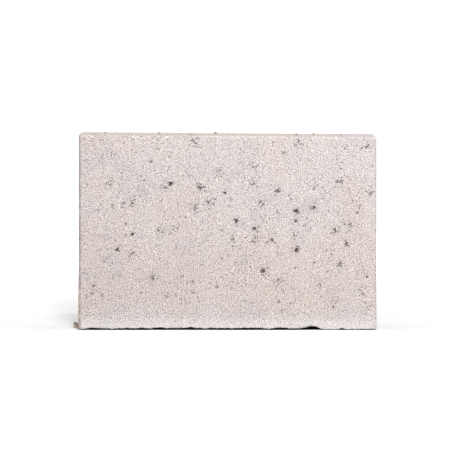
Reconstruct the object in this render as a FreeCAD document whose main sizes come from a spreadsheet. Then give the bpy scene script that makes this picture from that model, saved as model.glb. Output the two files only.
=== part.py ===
import FreeCAD, Part

import os

import Sketcher

# A gymnastics chalk block: one cake of pressed magnesium carbonate that stands on its long narrow side.
# Nothing is assembled inside it. Its form is the cake's outline, the arrises that handling has worn round,
# the spalls broken out of those arrises and the pores where grains have pulled out of its faces.
# The grains that came off it are separate pieces, and lie loose on its top face and at the foot of its
# left end.
# Millimetres. +X runs along the length, +Y away from the viewer through the depth, +Z up.
# The origin is the middle of the underside.

SIZES = {
    # the pressed cake: its right end is lower than its left, and its left end leans out at the foot
    "block_length": 76.0,
    "block_depth": 32.0,
    "block_height": 49.8,
    "top_fall": 0.5,
    "foot_flare": 0.25,
    "flare_height": 17.0,
    # wear of the top right corner, and of every arris
    "corner_round": 0.8,
    "arris_wear": 0.4,
    # the largest spall out of an arris: its run along it, its rise up one face, its reach in over the other
    "spall_run": 11.0,
    "spall_rise": 1.0,
    "spall_reach": 2.8,
    # the largest pore: half the width of its mouth, and its depth
    "pore_mouth": 0.6,
    "pore_depth": 0.8,
    # the largest loose grain: its radius and its height, and the space left between a grain and the block
    "grain_radius": 0.5,
    "grain_height": 0.7,
    "grain_clearance": 0.02,
}

# The lists below hold shares, so that what they place stays on the block when a size changes.

# Spalls along the lower front arris: place from its left end, run, rise.
FRONT_SPALLS = [
    (0.040, 0.33, 0.36),
    (0.086, 0.24, 0.38),
    (0.150, 0.51, 0.37),
    (0.258, 0.31, 0.60),
    (0.342, 0.82, 0.46),
    (0.443, 0.27, 0.45),
    (0.612, 0.47, 0.53),
    (0.765, 1.00, 0.46),
    (0.784, 0.46, 1.00),
    (0.884, 0.17, 0.42),
]

# Pores of the front face: place along the length, place up the height, size.
FRONT_PORES = [
    (0.31, 0.75, 1.00),
    (0.29, 0.72, 0.62),
    (0.15, 0.65, 0.62),
    (0.18, 0.65, 0.75),
    (0.18, 0.49, 0.90),
    (0.13, 0.41, 0.90),
    (0.18, 0.39, 0.70),
    (0.10, 0.76, 0.50),
    (0.41, 0.73, 0.62),
    (0.39, 0.62, 0.62),
    (0.44, 0.66, 0.55),
    (0.49, 0.70, 0.72),
    (0.47, 0.81, 0.50),
    (0.32, 0.51, 0.60),
    (0.27, 0.51, 0.55),
    (0.53, 0.56, 1.00),
    (0.52, 0.46, 0.55),
    (0.59, 0.52, 0.90),
    (0.60, 0.47, 0.70),
    (0.65, 0.46, 0.80),
    (0.61, 0.65, 0.50),
    (0.59, 0.75, 0.62),
    (0.59, 0.84, 0.55),
    (0.67, 0.71, 0.72),
    (0.69, 0.90, 0.62),
    (0.73, 0.61, 1.00),
    (0.73, 0.56, 0.80),
    (0.76, 0.53, 0.55),
    (0.79, 0.63, 0.90),
    (0.73, 0.48, 0.62),
    (0.73, 0.41, 1.00),
    (0.74, 0.96, 0.55),
    (0.87, 0.76, 0.62),
    (0.98, 0.70, 0.50),
    (0.97, 0.94, 0.50),
    (0.86, 0.51, 0.62),
    (0.91, 0.54, 0.60),
    (0.90, 0.44, 0.72),
    (0.88, 0.33, 0.50),
    (0.95, 0.19, 0.50),
    (0.81, 0.23, 0.62),
    (0.67, 0.24, 0.55),
    (0.62, 0.30, 0.62),
    (0.38, 0.25, 0.55),
    (0.25, 0.27, 0.50),
    (0.39, 0.96, 0.55),
]

# Grains on the top face: place along the length, place through the depth from the front, size.
TOP_GRAINS = [
    (0.046, 0.30, 0.60),
    (0.086, 0.62, 0.62),
    (0.268, 0.40, 0.85),
    (0.375, 0.22, 0.70),
    (0.459, 0.55, 1.00),
    (0.732, 0.35, 0.80),
    (0.792, 0.66, 0.72),
    (0.883, 0.45, 0.60),
]

# Grains at the foot of the left end: gap from it in radii of the largest grain, place through the depth
# from the front, size.
FOOT_GRAINS = [
    (0.1, 0.26, 0.85),
    (1.3, 0.37, 0.75),
    (0.0, 0.50, 1.00),
    (1.6, 0.56, 0.65),
    (0.6, 0.63, 0.85),
    (0.1, 0.79, 0.95),
    (1.4, 0.96, 1.00),
]

# The two pits that make up each pore, in half widths of its mouth: half width, half height, shift along the
# face. Then the pit's share of the pore's depth, and its turn in degrees about the way in.
PITS = [
    (1.0, 0.55, 0.0, 1.00, 0.0),
    (0.7, 0.45, 0.6, 0.65, 75.0),
]
# A pit is a pyramid without its tip. Its floor is this share of its mouth, and the cutter starts this share
# of its depth outside the face.
PIT_FLOOR = 0.4
PIT_LEAD = 0.5

# A grain's cross-sections: share of its height, share of its radius, shift through the depth in radii.
GRAIN_SECTIONS = [
    (0.0, 0.72, 0.00),
    (0.4, 1.00, 0.12),
    (1.0, 0.45, -0.15),
]

# Even but irregular steps, by which what repeats on the hidden faces is spread over them.
STEP_ALONG = 0.7549
STEP_ACROSS = 0.5698
# A turn of this many degrees from one pore or grain to the next, so that no two lie the same way.
TURN_STEP = 137.5


def spread(index, step):
    """A share from 0.06 to 0.94, for one of the pieces that are spread over a face or an arris."""
    return 0.06 + 0.88 * ((0.5 + index * step) % 1.0)


# Places on the block, as expressions on the sheet.

FRONT = "(-sizes.block_depth / 2)"
BACK = "(sizes.block_depth / 2)"
LEFT = "(-sizes.block_length / 2)"
LEFT_FOOT = "(-sizes.block_length / 2 - sizes.foot_flare)"
RIGHT = "(sizes.block_length / 2)"
UNDERSIDE = "0"


def along(share):
    return f"(sizes.block_length * {share - 0.5:.4f})"


def through(share):
    return f"(sizes.block_depth * {share - 0.5:.4f})"


def up(share):
    return f"(sizes.block_height * {share:.4f})"


def top_at(share):
    return f"(sizes.block_height - sizes.top_fall * {share:.4f})"


# Each pored face: the turn that points a cutter's own +Y into the block there, a place on it from two
# shares, and its pores as pairs of shares and a size.
X_AXIS = FreeCAD.Vector(1, 0, 0)
Y_AXIS = FreeCAD.Vector(0, 1, 0)
Z_AXIS = FreeCAD.Vector(0, 0, 1)


def spread_pores(count, first_up=0.0):
    """Pores for a hidden face, as pairs of shares and a size. The second share stays above first_up."""
    pores = []
    for index in range(count):
        height_share = first_up + (1 - first_up) * spread(index, STEP_ACROSS)
        pores.append((spread(index, STEP_ALONG), height_share, 0.5 + 0.4 * spread(index, STEP_ACROSS)))
    return pores


PORED_FACES = {
    "front": (
        FreeCAD.Rotation(),
        lambda share, rise: (along(share), FRONT, up(rise)),
        FRONT_PORES,
    ),
    "back": (
        FreeCAD.Rotation(Z_AXIS, 180),
        lambda share, rise: (along(share), BACK, up(rise)),
        spread_pores(26),
    ),
    "right_end": (
        FreeCAD.Rotation(Z_AXIS, 90),
        lambda share, rise: (RIGHT, through(share), up(rise)),
        spread_pores(9),
    ),
    "left_end": (
        FreeCAD.Rotation(Z_AXIS, -90),
        lambda share, rise: (LEFT, through(share), up(rise)),
        spread_pores(7, first_up=0.45),
    ),
    "top": (
        FreeCAD.Rotation(X_AXIS, -90),
        lambda share, reach: (along(share), through(reach), top_at(share)),
        spread_pores(9),
    ),
}

# Each spalled arris: a place on it from one share, the outward directions of its two faces, and its spalls
# as place, run and rise.


def spread_spalls(count, rise):
    """Small spalls for an arris, as place, run and rise."""
    spalls = []
    for index in range(count):
        place = (index + spread(index, STEP_ALONG)) / count
        spalls.append((place, 0.15 + 0.2 * spread(index, STEP_ACROSS), rise))
    return spalls


OUT_FRONT = (0, -1, 0)
OUT_BACK = (0, 1, 0)
OUT_LEFT = (-1, 0, 0)
OUT_RIGHT = (1, 0, 0)
OUT_UP = (0, 0, 1)
OUT_DOWN = (0, 0, -1)

SPALLED_ARRISES = {
    "lower_front": (
        lambda share: (along(share), FRONT, UNDERSIDE),
        OUT_FRONT,
        OUT_DOWN,
        FRONT_SPALLS,
    ),
    "lower_back": (
        lambda share: (along(share), BACK, UNDERSIDE),
        OUT_BACK,
        OUT_DOWN,
        spread_spalls(7, 0.5),
    ),
    "lower_right": (
        lambda share: (RIGHT, through(share), UNDERSIDE),
        OUT_RIGHT,
        OUT_DOWN,
        spread_spalls(3, 0.5),
    ),
    "lower_left": (
        lambda share: (LEFT_FOOT, through(share), UNDERSIDE),
        OUT_LEFT,
        OUT_DOWN,
        spread_spalls(3, 0.5),
    ),
    "upper_front": (
        lambda share: (along(share), FRONT, top_at(share)),
        OUT_FRONT,
        OUT_UP,
        spread_spalls(6, 0.3),
    ),
    "upper_back": (
        lambda share: (along(share), BACK, top_at(share)),
        OUT_BACK,
        OUT_UP,
        spread_spalls(6, 0.4),
    ),
    "back_right": (
        lambda share: (RIGHT, BACK, up(share)),
        OUT_RIGHT,
        OUT_BACK,
        spread_spalls(4, 0.4),
    ),
}


def bind(feature, **expressions):
    """Binds a feature's properties to the sheet. at_x, at_y and at_z stand for its place."""
    for name, expression in expressions.items():
        feature.setExpression(name.replace("at_", "Placement.Base."), expression)


def make_sheet(doc):
    """The spreadsheet that holds every size."""
    sheet = doc.addObject("Spreadsheet::Sheet", "sizes")
    for row, (alias, size) in enumerate(SIZES.items(), start=1):
        sheet.set(f"A{row}", alias)
        sheet.set(f"B{row}", str(size))
        sheet.setAlias(f"B{row}", alias)
    doc.recompute()


def make_outline(body):
    """The cake's front outline: level underside, upright right end, falling top, and a left end that flares
    out at its foot."""
    outline = body.newObject("Sketcher::SketchObject", "front_outline")
    front_plane = next(f for f in body.Origin.OriginFeatures if f.Role == "XZ_Plane")
    outline.AttachmentSupport = [(front_plane, "")]
    outline.MapMode = "FlatFace"

    half = SIZES["block_length"] / 2
    corners = [
        (-half - SIZES["foot_flare"], 0.0),
        (half, 0.0),
        (half, SIZES["block_height"] - SIZES["top_fall"]),
        (-half, SIZES["block_height"]),
        (-half, SIZES["flare_height"]),
    ]
    underside, right_end, top, left_end, flare = range(len(corners))
    points = [FreeCAD.Vector(x, z, 0) for x, z in corners]
    for start, end in zip(points, points[1:] + points[:1]):
        outline.addGeometry(Part.LineSegment(start, end), False)
    for side in range(len(corners)):
        outline.addConstraint(Sketcher.Constraint("Coincident", side, 2, (side + 1) % len(corners), 1))
    outline.addConstraint(Sketcher.Constraint("Horizontal", underside))
    outline.addConstraint(Sketcher.Constraint("Vertical", right_end))
    outline.addConstraint(Sketcher.Constraint("Vertical", left_end))

    # the underside lies on the sketch's own X axis, and each length runs between two starts of sides
    x_axis = -1
    origin = (-1, 1)
    outline.addConstraint(Sketcher.Constraint("PointOnObject", underside, 1, x_axis))
    lengths = [
        ("right_half", "DistanceX", origin, (right_end, 1), SIZES["block_length"] / 2, RIGHT),
        ("left_half", "DistanceX", (left_end, 1), origin, SIZES["block_length"] / 2, f"-{LEFT}"),
        ("left_foot", "DistanceX", (underside, 1), origin, half + SIZES["foot_flare"], f"-{LEFT_FOOT}"),
        ("right_height", "DistanceY", origin, (top, 1), corners[2][1], top_at(1)),
        ("left_height", "DistanceY", origin, (left_end, 1), SIZES["block_height"], top_at(0)),
        ("flare_top", "DistanceY", origin, (flare, 1), SIZES["flare_height"], "sizes.flare_height"),
    ]
    for name, kind, start, end, length, expression in lengths:
        number = outline.addConstraint(Sketcher.Constraint(kind, *start, *end, length))
        outline.renameConstraint(number, name)
        outline.setExpression(f"Constraints.{name}", expression)
    return outline


def is_top_right_corner(edge):
    """True for the arris across the depth, between the top and the right end."""
    ends = [vertex.Point for vertex in edge.Vertexes]
    at_right = all(abs(end.x - SIZES["block_length"] / 2) < 1e-6 for end in ends)
    at_top = all(end.z > SIZES["block_height"] / 2 for end in ends)
    return at_right and at_top


def make_cake(doc):
    """The cake as it was pressed, with its top right corner and its arrises worn round."""
    body = doc.addObject("PartDesign::Body", "pressed_cake")
    outline = make_outline(body)
    doc.recompute()
    pad = body.newObject("PartDesign::Pad", "cake")
    pad.Profile = outline
    pad.SideType = "Symmetric"
    bind(pad, Length="sizes.block_depth")
    doc.recompute()

    edges = enumerate(pad.Shape.Edges, start=1)
    corner_edges = [f"Edge{number}" for number, edge in edges if is_top_right_corner(edge)]
    corner = body.newObject("PartDesign::Fillet", "worn_corner")
    corner.Base = (pad, corner_edges)
    bind(corner, Radius="sizes.corner_round")
    doc.recompute()
    arrises = body.newObject("PartDesign::Fillet", "worn_arrises")
    arrises.Base = (corner, [])
    arrises.UseAllEdges = True
    bind(arrises, Radius="sizes.arris_wear")
    doc.recompute()
    return body


def make_spalls(doc, arris_name):
    """Balls that scoop spalls out of an arris, each sized by its run along the arris and its rise and reach
    on the two faces. A ball's middle lies outside the block, as far out from each face as those ask."""
    place, out_face, out_other, spalls = SPALLED_ARRISES[arris_name]
    balls = []
    for number, (share, run, rise) in enumerate(spalls, start=1):
        half_run = f"(sizes.spall_run * {run / 2:.4f})"
        rise_up = f"(sizes.spall_rise * {rise:.4f})"
        reach_in = f"(sizes.spall_reach * {rise:.4f})"
        off_face = f"(({half_run}^2 - {reach_in}^2) / (2 * {reach_in}))"
        off_other = f"(({half_run}^2 - {rise_up}^2) / (2 * {rise_up}))"
        ball = doc.addObject("Part::Sphere", f"spall_{arris_name}_{number}")
        bind(ball, Radius=f"sqrt({off_face}^2 + {off_other}^2 + {half_run}^2)")
        for axis, start, on_face, on_other in zip("xyz", place(share), out_face, out_other):
            bind(ball, **{f"at_{axis}": f"{start} + {on_face} * {off_face} + {on_other} * {off_other}"})
        balls.append(ball)
    return balls


def make_pores(doc, face_name):
    """Cutters for the pores of a face. Each pore is two pits that overlap, turned against each other."""
    turn, place, pores = PORED_FACES[face_name]
    cutters = []
    for number, (share, rise, size) in enumerate(pores, start=1):
        for pit, (width, height, shift, depth, pit_turn) in enumerate(PITS, start=1):
            cutter = doc.addObject("Part::Wedge", f"pore_{face_name}_{number}_{pit}")
            depth_in = f"sizes.pore_depth * {depth * size:.4f}"
            bind(cutter, Ymin=f"-{PIT_LEAD} * {depth_in}", Ymax=depth_in)
            lead = 1 + (1 - PIT_FLOOR) * PIT_LEAD
            for end, spread_out in (("", lead), ("2", PIT_FLOOR)):
                for side, sign in (("min", -1), ("max", 1)):
                    across = size * (shift + sign * width * spread_out)
                    upward = size * sign * height * spread_out
                    bind(cutter, **{f"X{end}{side}": f"sizes.pore_mouth * ({across:.4f})"})
                    bind(cutter, **{f"Z{end}{side}": f"sizes.pore_mouth * ({upward:.4f})"})
            own_turn = FreeCAD.Rotation(Y_AXIS, number * TURN_STEP + pit_turn)
            cutter.Placement = FreeCAD.Placement(FreeCAD.Vector(), turn.multiply(own_turn))
            at_x, at_y, at_z = place(share, rise)
            bind(cutter, at_x=at_x, at_y=at_y, at_z=at_z)
            cutters.append(cutter)
    return cutters


def make_block(doc):
    """The chalk block: the worn cake, less its spalls and its pores."""
    cake = make_cake(doc)
    cutters = []
    for arris_name in SPALLED_ARRISES:
        cutters += make_spalls(doc, arris_name)
    for face_name in PORED_FACES:
        cutters += make_pores(doc, face_name)
    lost = doc.addObject("Part::MultiFuse", "lost_material")
    lost.Shapes = cutters
    block = doc.addObject("Part::Cut", "chalk_block")
    block.Base = cake
    block.Tool = lost
    return block


def make_grain(doc, name, place, size, turn):
    """One loose grain: a small crystal of flat faces, through three outlines one above the other."""
    middle_x, middle_y, seat = place
    radius = f"(sizes.grain_radius * {size:.4f})"
    height = f"(sizes.grain_height * {size:.4f})"
    outlines = []
    for number, (rise, width, shift) in enumerate(GRAIN_SECTIONS, start=1):
        outline = doc.addObject("Part::RegularPolygon", f"{name}_outline_{number}")
        outline.Polygon = 6
        outline.Placement = FreeCAD.Placement(FreeCAD.Vector(), FreeCAD.Rotation(Z_AXIS, turn))
        bind(
            outline,
            Circumradius=f"{radius} * {width}",
            at_x=middle_x,
            at_y=f"{middle_y} + {radius} * ({shift})",
            at_z=f"{seat} + {height} * {rise}",
        )
        outlines.append(outline)
    grain = doc.addObject("Part::Loft", name)
    grain.Sections = outlines
    grain.Solid = True
    grain.Ruled = True
    return grain


def make_top_grains(doc):
    """The grains that lie on the top face."""
    grains = []
    for number, (share, reach, size) in enumerate(TOP_GRAINS, start=1):
        seat = f"{top_at(share)} + sizes.grain_clearance"
        place = (along(share), through(reach), seat)
        grains.append(make_grain(doc, f"top_grain_{number}", place, size, number * TURN_STEP))
    return grains


def make_foot_grains(doc):
    """The grains that lie at the foot of the left end, level with the underside."""
    grains = []
    for number, (gap, reach, size) in enumerate(FOOT_GRAINS, start=1):
        middle_x = f"{LEFT_FOOT} - sizes.grain_clearance - sizes.grain_radius * {size + gap:.4f}"
        place = (middle_x, through(reach), UNDERSIDE)
        grains.append(make_grain(doc, f"foot_grain_{number}", place, size, number * TURN_STEP))
    return grains


def check(doc, sub_parts):
    """Stops if any feature failed, or any sub-part is empty or not valid."""
    failed = [item.Name for item in doc.Objects if "Invalid" in item.State or "Error" in item.State]
    for sub_part in sub_parts:
        if sub_part.Shape.isNull() or not sub_part.Shape.isValid():
            failed.append(sub_part.Label)
    if failed:
        raise RuntimeError(f"these failed: {', '.join(failed)}")


def main():
    doc = FreeCAD.newDocument("chalk_block")
    make_sheet(doc)
    sub_parts = [make_block(doc)] + make_top_grains(doc) + make_foot_grains(doc)
    doc.recompute()
    check(doc, sub_parts)
    os.makedirs("parts", exist_ok=True)
    for sub_part in sub_parts:
        sub_part.Shape.exportStep(f"parts/{sub_part.Label}.step")
        solids = len(sub_part.Shape.Solids)
        print(f"{sub_part.Label}: {solids} solid, {sub_part.Shape.Volume:.2f} mm3")


main()
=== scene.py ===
# %% [markdown]
# # A gymnastics chalk block
#
# The block is one cake of pressed magnesium carbonate, 76 mm long. It has no parts to put together, so
# all that makes it look real is its surface: faces that are flat from a step away but crusted close up,
# pores where grains have pulled out, a broken lower edge, and the grains that have come off it.
# The frame gives the cake and its larger loose grains at their true size. This lesson keeps their places
# and gives them their skin. Lengths are in metres, and the block lies along X with its broad face to -Y.

import bpy
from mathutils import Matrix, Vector
from mathutils.kdtree import KDTree


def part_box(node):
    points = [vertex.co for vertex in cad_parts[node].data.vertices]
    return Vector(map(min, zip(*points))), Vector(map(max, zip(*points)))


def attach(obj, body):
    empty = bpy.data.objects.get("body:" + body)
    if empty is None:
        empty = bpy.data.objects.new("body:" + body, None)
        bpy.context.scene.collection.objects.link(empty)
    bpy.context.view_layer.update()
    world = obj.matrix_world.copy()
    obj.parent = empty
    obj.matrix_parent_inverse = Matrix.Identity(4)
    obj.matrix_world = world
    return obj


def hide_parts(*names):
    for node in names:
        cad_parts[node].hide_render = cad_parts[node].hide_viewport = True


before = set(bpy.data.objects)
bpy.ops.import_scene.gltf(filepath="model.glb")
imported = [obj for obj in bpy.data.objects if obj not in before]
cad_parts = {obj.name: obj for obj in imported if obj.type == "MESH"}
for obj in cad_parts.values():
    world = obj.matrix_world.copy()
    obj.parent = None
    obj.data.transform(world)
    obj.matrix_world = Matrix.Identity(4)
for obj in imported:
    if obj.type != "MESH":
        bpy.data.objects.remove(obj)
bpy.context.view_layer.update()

MM = 0.001
block_low, block_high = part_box("chalk_block")
block_middle = (block_low + block_high) / 2
block_length = block_high.x - block_low.x
print("The cake's corners, in mm:", [round(c / MM, 2) for c in (*block_low, *block_high)])

# %% [markdown]
# ## Helpers for modelling
#
# An operator acts on everything that is selected, and the frame arrives with all its nodes selected.
# So each piece is picked alone before anything is done to it. A node's mesh is also loose triangles:
# its corners have to be merged before a modifier can treat it as one skin.

# %% Pick one piece, copy a node, apply a modifier

MERGE_DISTANCE = 0.0005 * MM


def pick(piece):
    """Makes a piece the only one selected, and the active one."""
    bpy.ops.object.select_all(action="DESELECT")
    piece.select_set(True)
    bpy.context.view_layer.objects.active = piece


def copy_of_node(node, name):
    """A new piece with its own copy of a node's mesh, its doubles merged."""
    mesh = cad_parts[node].data.copy()
    mesh.materials.clear()
    piece = bpy.data.objects.new(name, mesh)
    bpy.context.scene.collection.objects.link(piece)
    pick(piece)
    bpy.ops.object.mode_set(mode="EDIT")
    bpy.ops.mesh.select_all(action="SELECT")
    bpy.ops.mesh.remove_doubles(threshold=MERGE_DISTANCE)
    bpy.ops.mesh.normals_make_consistent(inside=False)
    bpy.ops.object.mode_set(mode="OBJECT")
    return piece


def finish_with(piece, kind, **settings):
    """Adds a modifier with these settings, and applies it."""
    pick(piece)
    modifier = piece.modifiers.new(kind.lower(), kind)
    for name, setting in settings.items():
        setattr(modifier, name, setting)
    bpy.ops.object.modifier_apply(modifier=modifier.name)


def triangles(piece):
    return sum(len(face.vertices) - 2 for face in piece.data.polygons)


# %% [markdown]
# ## Helpers for materials
#
# A chalk material is mostly arithmetic on noise: a bit more here, nothing below that. Written as nodes
# it is a long tangle. So one small class stands for a number that a node puts out, and Python's own signs
# add the Math nodes. Every other node comes from one method.

# %% Number


class Number:
    """A number, a vector or a colour that comes out of a node. Signs between numbers add Math nodes."""

    def __init__(self, shader, socket):
        self.shader = shader
        self.socket = socket

    def math(self, operation, *values):
        node = self.shader.tree.nodes.new("ShaderNodeMath")
        node.operation = operation
        for socket, value in zip(node.inputs, values):
            self.shader.feed(socket, value)
        return Number(self.shader, node.outputs[0])

    def __add__(self, other):
        return self.math("ADD", self, other)

    def __radd__(self, other):
        return self.math("ADD", other, self)

    def __sub__(self, other):
        return self.math("SUBTRACT", self, other)

    def __rsub__(self, other):
        return self.math("SUBTRACT", other, self)

    def __mul__(self, other):
        return self.math("MULTIPLY", self, other)

    def __rmul__(self, other):
        return self.math("MULTIPLY", other, self)

    def size(self):
        return self.math("ABSOLUTE", self)

    def least(self, other):
        return self.math("MINIMUM", self, other)

    def most(self, other):
        return self.math("MAXIMUM", self, other)


# %% [markdown]
# The second class wraps a whole node tree. One method adds any node, with its settings and sockets by
# name, and the few that every finish needs, such as noise and ramps, have short methods of their own.

# %% Shader


class Shader:
    """A node tree of a material or of the world, with one way to add a node."""

    def __init__(self, tree):
        self.tree = tree

    def feed(self, socket, value):
        if isinstance(value, Number):
            self.tree.links.new(value.socket, socket)
        else:
            socket.default_value = value

    def node(self, kind, settings=None, sockets=None, output=0):
        node = self.tree.nodes.new(kind)
        for name, setting in (settings or {}).items():
            setattr(node, name, setting)
        for name, value in (sockets or {}).items():
            self.feed(node.inputs[name], value)
        return Number(self, node.outputs[output])

    def noise(self, place, scale, detail=2.0, roughness=0.5):
        sockets = {"Vector": place, "Scale": scale, "Detail": detail, "Roughness": roughness}
        return self.node("ShaderNodeTexNoise", sockets=sockets, output="Fac")

    def ramp(self, value, start, end):
        """0 at start, 1 at end, and smooth between them. Start may be the larger."""
        sockets = {"Value": value, "From Min": start, "From Max": end}
        return self.node("ShaderNodeMapRange", {"interpolation_type": "SMOOTHSTEP"}, sockets)

    def mix(self, share, first, second, blend="MIX"):
        """A colour between two, or the second blended onto the first by that share."""
        node = self.tree.nodes.new("ShaderNodeMix")
        node.data_type = "RGBA"
        node.blend_type = blend
        factor, colour_a, colour_b = node.inputs[0], node.inputs[6], node.inputs[7]
        for socket, value in ((factor, share), (colour_a, first), (colour_b, second)):
            self.feed(socket, value)
        return Number(self, node.outputs[2])

    def place(self):
        """Where a point lies on the piece, in metres."""
        return self.node("ShaderNodeTexCoord", output="Object")

    def axes(self, place):
        """The three numbers of a place."""
        node = self.tree.nodes.new("ShaderNodeSeparateXYZ")
        self.feed(node.inputs["Vector"], place)
        return [Number(self, output) for output in node.outputs]

    def moved(self, place, offset):
        """The same place in another part of a noise, so that two patterns don't fall together."""
        return self.node("ShaderNodeMapping", sockets={"Vector": place, "Location": offset})

    def seen(self):
        """1 where a ray comes from the camera, straight, off gloss or through glass, and 0 elsewhere."""
        node = self.tree.nodes.new("ShaderNodeLightPath")
        kinds = ("Camera", "Glossy", "Transmission")
        rays = [Number(self, node.outputs[f"Is {kind} Ray"]) for kind in kinds]
        return rays[0].most(rays[1]).most(rays[2])


def new_material(name):
    material = bpy.data.materials.new(name)
    material.use_nodes = True
    return material, Shader(material.node_tree)


def display_colour(red, green, blue):
    """A colour for a socket, from the numbers out of 255 that a screen shows it with."""
    def linear(value):
        share = value / 255
        return share / 12.92 if share <= 0.04045 else ((share + 0.055) / 1.055) ** 2.4
    return (linear(red), linear(green), linear(blue), 1.0)


# %% [markdown]
# ## Where a point lies in the cake
#
# Much of the finish depends on how deep a point lies below the faces: the floors of the pores get painted
# shade, dust and painted light lie on top, and the undercut gets black painted shade. The cake is almost a
# box, so the depth can be worked out from a point's three coordinates. The left end leans out a little at
# its foot, and the top falls to the right. The shader needs this as nodes, and the modelling needs it for
# single points.

# %% Depth below the faces

TOP_FALL = 0.5 * MM
FOOT_FLARE = 0.25 * MM
FLARE_HEIGHT = 17 * MM


def depth_below_faces(x, y, z):
    """How far a point lies below the nearest upright face of the cake, below the nearest of all its faces,
    and below its top, as Numbers in metres."""
    left_here = block_low.x + (z * (FOOT_FLARE / FLARE_HEIGHT)).least(FOOT_FLARE)
    from_ends = (x - left_here).least(block_high.x - x)
    from_broad_faces = (block_high.y - block_low.y) / 2 - y.size()
    from_sides = from_ends.least(from_broad_faces)
    top_here = block_high.z - (x - block_low.x) * (TOP_FALL / block_length)
    return from_sides, from_sides.least(z).least(top_here - z), top_here - z


def depth_in_cake(point):
    """How far one point lies below the nearest of all the faces, in metres."""
    left_here = block_low.x + min(FOOT_FLARE, point.z * FOOT_FLARE / FLARE_HEIGHT)
    from_ends = min(point.x - left_here, block_high.x - point.x)
    top_here = block_high.z - (point.x - block_low.x) * TOP_FALL / block_length
    from_broad_faces = min(point.y - block_low.y, block_high.y - point.y)
    return min(from_ends, from_broad_faces, point.z, top_here - point.z)


# %% [markdown]
# ## Pressed chalk: the broad colours
#
# Close up, the cake is a pale pinkish grey with warmer tan patches low down and greyer ones here and
# there. An image could carry this, but it would smear on the arrises, where its faces meet. Noise that
# is worked out from a point's place in the block runs through the cake as the real grain does, and meets
# itself on every arris. A noise's scale is how many of its cells fit in a metre.

# %% Colours of the chalk, and its broad patches

CHALK = display_colour(223, 213, 210)
CHALK_WARM = display_colour(224, 209, 203)
CHALK_GREY = display_colour(216, 207, 205)
CRYSTAL = display_colour(250, 246, 243)
GRIT = display_colour(134, 121, 116)
# Darker grit round the pores: partly grit, partly painted shade of the pores.
GRIT_AND_SHADE_IN_PORES = display_colour(84, 74, 70)
# Painted shade: the floors of the pores, where light doesn't reach.
PIT_FLOOR_SHADE = display_colour(132, 119, 114)
# Painted shade: the black in the undercut and the spalls along the foot.
UNDERCUT_SHADE_COLOUR = display_colour(8, 7, 6)
# The paler colour of the top: partly dust, partly painted light from above.
DUST_AND_TOP_LIGHT = display_colour(250, 237, 232)
# Painted shade: the front left arris, darkened brown where it turns away from the light.
LEFT_ARRIS_SHADE = display_colour(164, 145, 139)

# each pair is where a ramp is 0 and where it is 1
WARM_BELOW = (38 * MM, 14 * MM)
WARM_ABOVE = (2 * MM, 9 * MM)
WARM_LEFTWARDS = (10 * MM, -30 * MM)
WARM_PATCHES = (0.48, 0.80)
GREY_PATCHES = (0.48, 0.70)
WARMER_LOW = 0.20
WARMER_LOW_LEFT = 0.09


def broad_patches(shader, place, x, z):
    """The cake's own colour: warmer in the lower half, most so to the left, and greyer here and there."""
    patches = shader.noise(place, scale=55, detail=4, roughness=0.65)
    lower_half = shader.ramp(z, *WARM_BELOW) * shader.ramp(z, *WARM_ABOVE)
    left_half = shader.ramp(x, *WARM_LEFTWARDS)
    warmth = patches + WARMER_LOW * lower_half
    warmth = warmth + WARMER_LOW_LEFT * lower_half * left_half
    colour = shader.mix(shader.ramp(warmth, *WARM_PATCHES), CHALK, CHALK_WARM)
    grey_patches = shader.noise(shader.moved(place, (0.3, 0.1, 0.2)), scale=110, detail=4, roughness=0.65)
    return shader.mix(shader.ramp(grey_patches, *GREY_PATCHES), colour, CHALK_GREY)


# %% [markdown]
# ## Pressed chalk: the grain
#
# A grain of about a fifth of a millimetre covers every face. It is made by shading the colour with a fine
# noise, and two coarser ones add a little. Painted light makes the colour a little brighter towards the
# right end and towards the top. The foot of a block is rubbed pale and smooth each time it is set down, so
# the grain fades there, along an edge that the lumps make ragged.

# %% Grain, painted light, and the rubbed foot

FINE_SHADE = 4.15
COARSE_SHADE = 0.10
LUMP_SHADE = 0.06
# Painted light: the colour brightens along x towards the right end, and along z towards the top.
SIDE_PAINTED_LIGHT = 1.3
RISE_PAINTED_LIGHT = 1.4
RUBBED_BELOW = (4.2 * MM, 0.9 * MM)
RUBBED_RAGGED = 2.2 * MM
RUBBED_PALE = 0.55
RUBBED_SMOOTH = 0.45


def grained(shader, colour, x, z, fine, coarse, lumps):
    """A colour with the grain over it, and the foot rubbed. Painted light makes it a little brighter along
    each metre to the right and up.
    """
    rubbed = shader.ramp(z + RUBBED_RAGGED * (lumps - 0.5), *RUBBED_BELOW)
    colour = shader.mix(rubbed * RUBBED_PALE, colour, CRYSTAL)
    shade = 1 + FINE_SHADE * (fine - 0.5) + COARSE_SHADE * (coarse - 0.5) + LUMP_SHADE * (lumps - 0.5)
    # Painted light: brighter towards the right end and towards the top.
    shade = shade + SIDE_PAINTED_LIGHT * x + RISE_PAINTED_LIGHT * (z - block_high.z / 2)
    grey = shader.node("ShaderNodeCombineColor", sockets={"Red": shade, "Green": shade, "Blue": shade})
    return shader.mix(1 - RUBBED_SMOOTH * rubbed, colour, grey, blend="MULTIPLY")


# %% [markdown]
# ## Pressed chalk: grit and crystals
#
# Darker grit and white crystals are mixed in, about a millimetre apart, in loose clusters. Round a pore
# both are thicker, because its rim has crumbled: that is what makes a pore look broken open and not
# drilled. The skin carries a number, near_pores, that is 1 at a pore and fades to 0 around it.

# %% Grit and crystals

GRIT_CLUSTERED = 0.25
CRYSTALS_CLUSTERED = 0.20
GRIT_CRUMBLED = 0.15
CRYSTALS_CRUMBLED = 0.17
GRIT_FROM = (0.675, 0.725)
CRYSTALS_FROM = (0.66, 0.72)
WHITE_GRAINS_FROM = (0.75, 0.78)
SPECK_STRENGTH = 0.8


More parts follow.
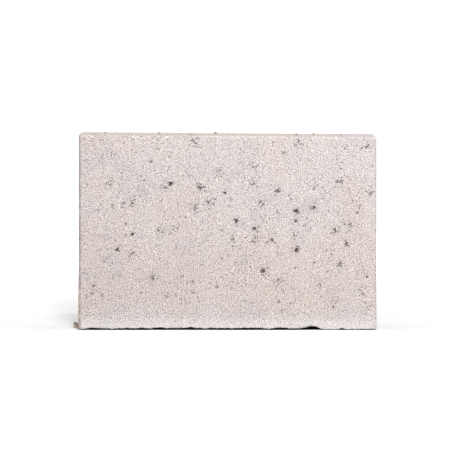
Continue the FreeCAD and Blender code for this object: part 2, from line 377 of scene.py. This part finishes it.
def specks(shader, place):
    """Where grit, crystals and crumbled rims show, each from 0 to 1."""
    near_pores = shader.node("ShaderNodeAttribute", {"attribute_name": "near_pores"}, output="Fac")
    clusters = shader.noise(shader.moved(place, (0.2, 0.8, 0.4)), scale=160, detail=2)
    grit = shader.noise(shader.moved(place, (0.5, 0.2, 0.7)), scale=1800, detail=2, roughness=0.7)
    grit = grit + GRIT_CLUSTERED * (clusters - 0.5) + GRIT_CRUMBLED * near_pores
    crystal = shader.noise(shader.moved(place, (0.9, 0.6, 0.1)), scale=1500, detail=1, roughness=0.6)
    crystal = crystal + CRYSTALS_CLUSTERED * (clusters - 0.5) + CRYSTALS_CRUMBLED * near_pores
    white_grain = shader.noise(shader.moved(place, (0.4, 0.7, 0.8)), scale=620, detail=1, roughness=0.6)
    white_grain = shader.ramp(white_grain, *WHITE_GRAINS_FROM)
    crystal = shader.ramp(crystal, *CRYSTALS_FROM).most(white_grain)
    return shader.ramp(grit, *GRIT_FROM), crystal, near_pores


# %% [markdown]
# ## Pressed chalk: dust, painted light and painted shade
#
# The top is paler, partly from dust and partly as painted light from above. The front left arris is
# darkened brown as painted shade, where it turns away from the light. The floors of the pores get painted
# shade. The undercut along the foot, where the arris has broken off, gets a ragged black line of painted
# shade, which closes where the block sits flat, near both ends.

# %% Dust, painted light and painted shade on the top, the left arris, the pores and the undercut

# Where the top is made paler by dust and painted light, and how much.
DUST_AND_LIGHT_ON_TOP = (0.30 * MM, 0.05 * MM)
DUST_AND_LIGHT_RAGGED = 0.3 * MM
DUST_AND_LIGHT_STRENGTH = 0.55
# Where and how strongly the front left arris gets its brown painted shade.
LEFT_ARRIS_SHADE_ACROSS = (block_low.x + 1.05 * MM, block_low.x + 0.60 * MM)
LEFT_ARRIS_SHADE_IN_DEPTH = (block_low.y + 3 * MM, block_low.y + 0.3 * MM)
LEFT_ARRIS_SHADE_LUMPS = (0.25, 0.6)
LEFT_ARRIS_SHADE_STRENGTH = 0.7
# The depths over which the pores' painted shade comes in.
PORE_SHADE_DEPTHS = (0.18 * MM, 0.42 * MM)
# How high the black painted shade of the undercut reaches, where it closes, and, further down, the spalls
# that get it too.
CREVICE = 1.35 * MM
CREVICE_EDGE = (0.12 * MM, -0.08 * MM)
CREVICE_LOST = 0.10
CREVICE_LOST_SEATED = 0.26
SEATED_RIGHT = (21 * MM, 27 * MM)
SEATED_LEFT = (-35 * MM, -38 * MM)
BROKEN_IN = (0.15 * MM, 0.45 * MM)
BROKEN_BELOW = (1.2 * MM, 0.9 * MM)


def dusted_and_shaded(shader, colour, place, axes, lumps):
    """A colour with dust and painted light on top, and painted shade on the front left arris, in the pores
    and in the undercut.
    """
    x, y, z = axes
    from_sides, depth, from_top = depth_below_faces(x, y, z)
    # The top is paler: partly dust, partly painted light from above.
    dust_and_light = shader.ramp(from_top + DUST_AND_LIGHT_RAGGED * (lumps - 0.5), *DUST_AND_LIGHT_ON_TOP)
    colour = shader.mix(dust_and_light * DUST_AND_LIGHT_STRENGTH, colour, DUST_AND_TOP_LIGHT)
    # Painted shade along the front left arris, broken up by the lumps.
    left_arris_shade = shader.ramp(x, *LEFT_ARRIS_SHADE_ACROSS) * shader.ramp(y, *LEFT_ARRIS_SHADE_IN_DEPTH)
    colour = shader.mix(left_arris_shade * shader.ramp(lumps, *LEFT_ARRIS_SHADE_LUMPS) * LEFT_ARRIS_SHADE_STRENGTH, colour, LEFT_ARRIS_SHADE)
    # Painted shade on the floors of the pores, by their depth below the faces.
    colour = shader.mix(shader.ramp(depth, *PORE_SHADE_DEPTHS), colour, PIT_FLOOR_SHADE)
    # Black painted shade in the undercut along the foot, made ragged by noise and closing where the block
    # sits flat, and in the spalls.
    reach = shader.noise(shader.moved(place, (0.7, 0.4, 0.3)), scale=260, detail=3, roughness=0.7)
    seated = shader.ramp(x, *SEATED_RIGHT) + shader.ramp(x, *SEATED_LEFT)
    crevice_top = CREVICE * (reach - CREVICE_LOST - CREVICE_LOST_SEATED * seated)
    undercut_shade = shader.ramp(z - crevice_top, *CREVICE_EDGE)
    spall_shade = shader.ramp(from_sides, *BROKEN_IN) * shader.ramp(z, *BROKEN_BELOW)
    return shader.mix(undercut_shade.most(spall_shade), colour, UNDERCUT_SHADE_COLOUR)


# %% [markdown]
# ## Pressed chalk: the whole material
#
# The colours go on in this order: the cake's own, the grain, the specks, then dust with painted light and
# painted shade. Chalk is dry and matt, so it is rough all over with little shine, and the same noises
# that colour it raise its bump.

# %% Put the pressed chalk together

ROUGHNESS = 0.95
SHINE = 0.2
BUMP_HEIGHT = 0.36 * MM
FINE_RELIEF = 0.8
COARSE_RELIEF = 0.2
CRYSTAL_RELIEF = 0.4
GRIT_RELIEF = 0.8


def dry_surface(shader, colour, relief, strength, height):
    """Gives a material its colour, a matt finish and a bump."""
    surface = shader.tree.nodes["Principled BSDF"]
    surface.inputs["Roughness"].default_value = ROUGHNESS
    surface.inputs["Specular IOR Level"].default_value = SHINE
    shader.feed(surface.inputs["Base Color"], colour)
    sockets = {"Height": relief, "Strength": strength, "Distance": height}
    shader.feed(surface.inputs["Normal"], shader.node("ShaderNodeBump", sockets=sockets, output="Normal"))


def pressed_chalk():
    material, shader = new_material("pressed_chalk")
    place = shader.place()
    axes = x, y, z = shader.axes(place)
    fine = shader.noise(place, scale=5200, detail=1, roughness=0.8)
    coarse = shader.noise(place, scale=1500, detail=2, roughness=0.7)
    lumps = shader.noise(place, scale=380, detail=2, roughness=0.6)
    colour = broad_patches(shader, place, x, z)
    colour = grained(shader, colour, x, z, fine, coarse, lumps)
    grit, crystal, near_pores = specks(shader, place)
    # Near a pore the grit is darker: partly grit, partly painted shade of the pore.
    colour = shader.mix(grit * SPECK_STRENGTH, colour, shader.mix(near_pores, GRIT, GRIT_AND_SHADE_IN_PORES))
    colour = shader.mix(crystal * SPECK_STRENGTH, colour, CRYSTAL)
    colour = dusted_and_shaded(shader, colour, place, axes, lumps)
    relief = fine * FINE_RELIEF + coarse * COARSE_RELIEF + crystal * CRYSTAL_RELIEF - grit * GRIT_RELIEF
    dry_surface(shader, colour, relief, strength=1.0, height=BUMP_HEIGHT)
    return material


pressed_chalk_material = pressed_chalk()
print("Nodes in the pressed chalk:", len(pressed_chalk_material.node_tree.nodes))

# %% [markdown]
# ## The cake's skin
#
# The frame's cake has its true outline, its spalls and its larger pores, but its faces are dead flat.
# Sculpting a crust by hand over six faces would take days. A remesh lays an even net of small faces over
# the whole cake, and Displace modifiers then push that net in by procedural textures, one for each scale
# of unevenness, just as grain sizes mix in the real cake. All of them only push inwards, so the cake
# never grows.

# %% Helpers that push a skin in and hold it in its box


def push_in(piece, name, cell, depth, pushed_at, left_at, octaves=2, group=""):
    """Pushes a piece's skin in, by up to depth, where a cloudy texture is low. Its patches are a cell
    across. Where its value is under pushed_at the skin goes all the way in, and over left_at it stays."""
    texture = bpy.data.textures.new(name, "CLOUDS")
    texture.noise_scale = cell
    texture.noise_depth = octaves
    texture.use_color_ramp = True
    stops = texture.color_ramp.elements
    stops[0].position, stops[0].color = pushed_at, (0, 0, 0, 1)
    stops[1].position, stops[1].color = left_at, (1, 1, 1, 1)
    finish_with(
        piece,
        "DISPLACE",
        texture=texture,
        texture_coords="LOCAL",
        direction="NORMAL",
        mid_level=1.0,
        strength=depth,
        vertex_group=group,
    )


def hold_inside(piece, node):
    """Brings each corner of a piece that stands outside its node's box back to the box."""
    low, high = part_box(node)
    for corner in piece.data.vertices:
        for axis in range(3):
            corner.co[axis] = min(max(corner.co[axis], low[axis]), high[axis])


# %% [markdown]
# Two places need a treatment of their own. Round each pore the skin is broken more deeply. Near the foot
# it has no small pits, because the arris there is rubbed smooth. A vertex group tells a modifier how much
# of its push each corner gets. The pores are found as the corners of the frame's cake that lie deep below
# its faces, and the spalls along the foot are left out.

# %% Find the pores and the part above the foot

PORE_DEEP = 0.30 * MM
SPALLS_TO = 2 * MM
PITS_FROM = 2 * MM
FOOT_BLEND = 3 * MM


def near_pores_of(piece, reach):
    """For each corner of a piece, 1 at a pore of the frame's cake and 0 a reach away from one."""
    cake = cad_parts["chalk_block"].data
    above_spalls = [corner.co for corner in cake.vertices if corner.co.z > SPALLS_TO]
    floors = [place for place in above_spalls if depth_in_cake(place) > PORE_DEEP]
    tree = KDTree(len(floors))
    for number, place in enumerate(floors):
        tree.insert(place, number)
    tree.balance()
    distances = (tree.find(corner.co)[2] for corner in piece.data.vertices)
    return [max(0.0, 1 - distance / reach) for distance in distances]


def new_group(piece, name, shares):
    """A vertex group that gives each corner its share, at most 1, and leaves out those with none."""
    group = piece.vertex_groups.new(name=name)
    for number, share in enumerate(shares):
        if share > 0:
            group.add([number], min(1.0, share), "REPLACE")
    return group.name


# %% [markdown]
# A net of 0.17 mm cells is fine enough for the crust, but it has several times the triangles that a piece
# may have, so a Decimate modifier thins it once it is shaped. The pore rims are broken first, then come the broad unevenness, the
# lumps and the crust, and the small pits come last. Thinning can move a corner out a little, so every
# corner is then held inside the cake's own box.

# %% Remesh the cake and push its skin in

SKIN_CELL = 0.17 * MM
RIM_REACH = 1.4 * MM
SPECK_REACH = 1.8 * MM
MOST_TRIANGLES = 196000

skin = copy_of_node("chalk_block", "cake_skin")
finish_with(skin, "REMESH", mode="VOXEL", voxel_size=SKIN_CELL, adaptivity=0.0)
print("Triangles after the remesh:", triangles(skin))

pore_rims = new_group(skin, "pore_rims", near_pores_of(skin, RIM_REACH))
push_in(skin, "broken_rims", cell=0.40 * MM, depth=0.40 * MM, pushed_at=0.34, left_at=0.44, group=pore_rims)
push_in(skin, "broad_unevenness", cell=9 * MM, depth=0.06 * MM, pushed_at=0.25, left_at=0.55)
push_in(skin, "lumps", cell=1.4 * MM, depth=0.03 * MM, pushed_at=0.25, left_at=0.48)
push_in(skin, "crust", cell=0.5 * MM, depth=0.07 * MM, pushed_at=0.25, left_at=0.50)
heights = [corner.co.z for corner in skin.data.vertices]
above_foot = new_group(skin, "above_foot", [(height - PITS_FROM) / FOOT_BLEND for height in heights])
push_in(skin, "small_pits", cell=0.9 * MM, depth=0.40 * MM, pushed_at=0.16, left_at=0.26, group=above_foot)
finish_with(skin, "DECIMATE", ratio=min(1.0, MOST_TRIANGLES / triangles(skin)))
hold_inside(skin, "chalk_block")

pick(skin)
bpy.ops.object.shade_smooth()
near_pores = skin.data.attributes.new("near_pores", "FLOAT", "POINT")
near_pores.data.foreach_set("value", near_pores_of(skin, SPECK_REACH))
skin.data.materials.append(pressed_chalk_material)
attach(skin, "root")
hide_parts("chalk_block")
print("Triangles in the finished skin:", triangles(skin))

# %% [markdown]
# ## Loose grains
#
# Each loose grain of the frame is a plain crystal of a few flat faces. Subdivided and pushed in by a fine
# texture it becomes a crumb of chalk, in its own place and no larger than it was. The crumbs are mottled
# pale and brown, and those on top are greyed with painted shade.

# %% The loose chalk material

LOOSE = display_colour(224, 206, 196)
LOOSE_DARK = display_colour(172, 147, 134)
# Painted shade: the grey of the crumbs on top.
LOOSE_SHADE_ON_TOP = display_colour(168, 156, 151)
LOOSE_BUMP = 0.1 * MM
LOOSE_PALE = (0.35, 0.62)
LOOSE_RISES = (block_high.z / 2, block_high.z - 2 * MM)
LOOSE_SHADED = 0.8


def loose_chalk():
    material, shader = new_material("loose_chalk")
    place = shader.place()
    grain = shader.noise(place, scale=3200, detail=3, roughness=0.7)
    colour = shader.mix(shader.ramp(grain, *LOOSE_PALE), LOOSE_DARK, LOOSE)
    # Painted shade: crumbs high on the block are greyed.
    shade_on_top = shader.ramp(shader.axes(place)[2], *LOOSE_RISES)
    colour = shader.mix(shade_on_top * LOOSE_SHADED, colour, LOOSE_SHADE_ON_TOP)
    dry_surface(shader, colour, grain, strength=0.8, height=LOOSE_BUMP)
    return material


# %% [markdown]
# One loop makes every crumb. A texture reads a point's place, and the grains lie in different places, so
# each one comes out with a crust of its own from the same settings.

# %% Make a crumb of each grain

loose_chalk_material = loose_chalk()
grain_nodes = sorted(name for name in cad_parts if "grain" in name)
for node in grain_nodes:
    grain = copy_of_node(node, node.replace("grain", "crumb"))
    bpy.ops.object.mode_set(mode="EDIT")
    bpy.ops.mesh.select_all(action="SELECT")
    bpy.ops.mesh.subdivide(number_cuts=3, smoothness=0.3)
    bpy.ops.object.mode_set(mode="OBJECT")
    push_in(grain, f"{node}_crust", cell=0.22 * MM, depth=0.10 * MM, pushed_at=0.3, left_at=0.7, octaves=1)
    hold_inside(grain, node)
    bpy.ops.object.shade_smooth()
    grain.data.materials.append(loose_chalk_material)
    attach(grain, "root")
    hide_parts(node)
print("Loose grains:", len(grain_nodes))

# %% [markdown]
# ## Floor and room
#
# The block stands on a white sweep. To the camera the floor glows a little, so that lit floor is pure
# white while the shadow beside the block still shows. To the block it is plain pale card.

# %% The floor

FLOOR_SIZE = 12.0
CARD = (0.35, 0.35, 0.35, 1.0)
WHITE = (0.95, 0.95, 0.95, 1.0)
GLOW_NEAR = 0.15
GLOW_FAR = 0.60
GLOW_GROWS = (0.08, 0.35)


def white_sweep():
    material, shader = new_material("white_sweep")
    tree = shader.tree
    tree.nodes.remove(tree.nodes["Principled BSDF"])
    place = shader.place()
    distance = shader.node("ShaderNodeVectorMath", {"operation": "LENGTH"}, {"Vector": place}, "Value")
    glow = GLOW_NEAR + (GLOW_FAR - GLOW_NEAR) * shader.ramp(distance, *GLOW_GROWS)
    card = shader.node("ShaderNodeBsdfDiffuse", sockets={"Color": CARD})
    white = shader.node("ShaderNodeBsdfDiffuse", sockets={"Color": WHITE})
    shine = shader.node("ShaderNodeEmission", sockets={"Strength": glow})
    to_camera = tree.nodes.new("ShaderNodeAddShader")
    shader.feed(to_camera.inputs[0], white)
    shader.feed(to_camera.inputs[1], shine)
    choice = tree.nodes.new("ShaderNodeMixShader")
    shader.feed(choice.inputs[0], shader.seen())
    shader.feed(choice.inputs[1], card)
    tree.links.new(to_camera.outputs[0], choice.inputs[2])
    tree.links.new(choice.outputs[0], tree.nodes["Material Output"].inputs["Surface"])
    return material


bpy.ops.object.select_all(action="DESELECT")
bpy.ops.mesh.primitive_plane_add(size=FLOOR_SIZE, location=(0, 0, 0))
floor = bpy.context.object
floor.name = "floor"
floor.data.materials.append(white_sweep())
print("The floor glows from", GLOW_NEAR, "beside the block to", GLOW_FAR, "further off")

# %% [markdown]
# The world lights the block softly from all sides, as a white room does. A Light Path node tells a ray
# from the camera from one that lights the block, so the background can be white and the block not washed
# out by it.

# %% The room

ROOM_LIGHT = 0.62
world = bpy.data.worlds.new("white_room")
bpy.context.scene.world = world
world.use_nodes = True
room = Shader(world.node_tree)
background = world.node_tree.nodes["Background"]
background.inputs["Color"].default_value = (1.0, 1.0, 1.0, 1.0)
room.feed(background.inputs["Strength"], ROOM_LIGHT + (1 - ROOM_LIGHT) * room.seen())
print("The room's light on the block:", ROOM_LIGHT)

# %% [markdown]
# ## Lights
#
# Two small soft panels stand in front of the block and a little to its right. The low one lights the
# broad face almost squarely, and its shadow falls back a long way beside the left end. The high one
# reaches the top and leaves a short, darker shadow along the foot of that end.

# %% The lights


def panel(name, place, size, power):
    """A soft square light at a place, turned to the middle of the block."""
    bpy.ops.object.light_add(type="AREA", location=place)
    light = bpy.context.object
    light.name = name
    light.data.size = size
    light.data.energy = power
    light.rotation_euler = (block_middle - Vector(place)).to_track_quat("-Z", "Y").to_euler()
    print(name, "stands", round((Vector(place) - block_middle).length, 2), "m from the block")


panel("high_light", place=(0.051, -0.726, 0.655), size=0.10, power=2.5)
panel("front_light", place=(0.035, -1.15, 0.40), size=0.08, power=7.2)

# %% [markdown]
# ## Camera
#
# The photograph looks at the broad face almost square on, from a little above the top, so the top face
# shows as a thin strip. Its far corners are hardly drawn in, so it was taken from well back. A long lens
# from 2.2 m gives that view.

# %% The camera

CAMERA_DISTANCE = 2.2
CAMERA_SIDE = 0.62 * MM
CAMERA_HEIGHT = 104.0 * MM
AIM_HEIGHT = 25.56 * MM
FRAME_PIXELS = 460
BLOCK_PIXELS = 299.0
SENSOR = 36.0

camera_data = bpy.data.cameras.new("camera")
camera = bpy.data.objects.new("camera", camera_data)
bpy.context.scene.collection.objects.link(camera)
camera.location = (CAMERA_SIDE, block_low.y - CAMERA_DISTANCE, CAMERA_HEIGHT)
aim = Vector((CAMERA_SIDE, block_low.y, AIM_HEIGHT))
camera.rotation_euler = (aim - camera.location).to_track_quat("-Z", "Y").to_euler()
camera_data.sensor_width = SENSOR
camera_data.lens = SENSOR * BLOCK_PIXELS / FRAME_PIXELS * CAMERA_DISTANCE / block_length
bpy.context.scene.camera = camera
bpy.context.scene.view_settings.view_transform = "Standard"
print("Lens, in mm:", round(camera_data.lens, 1))
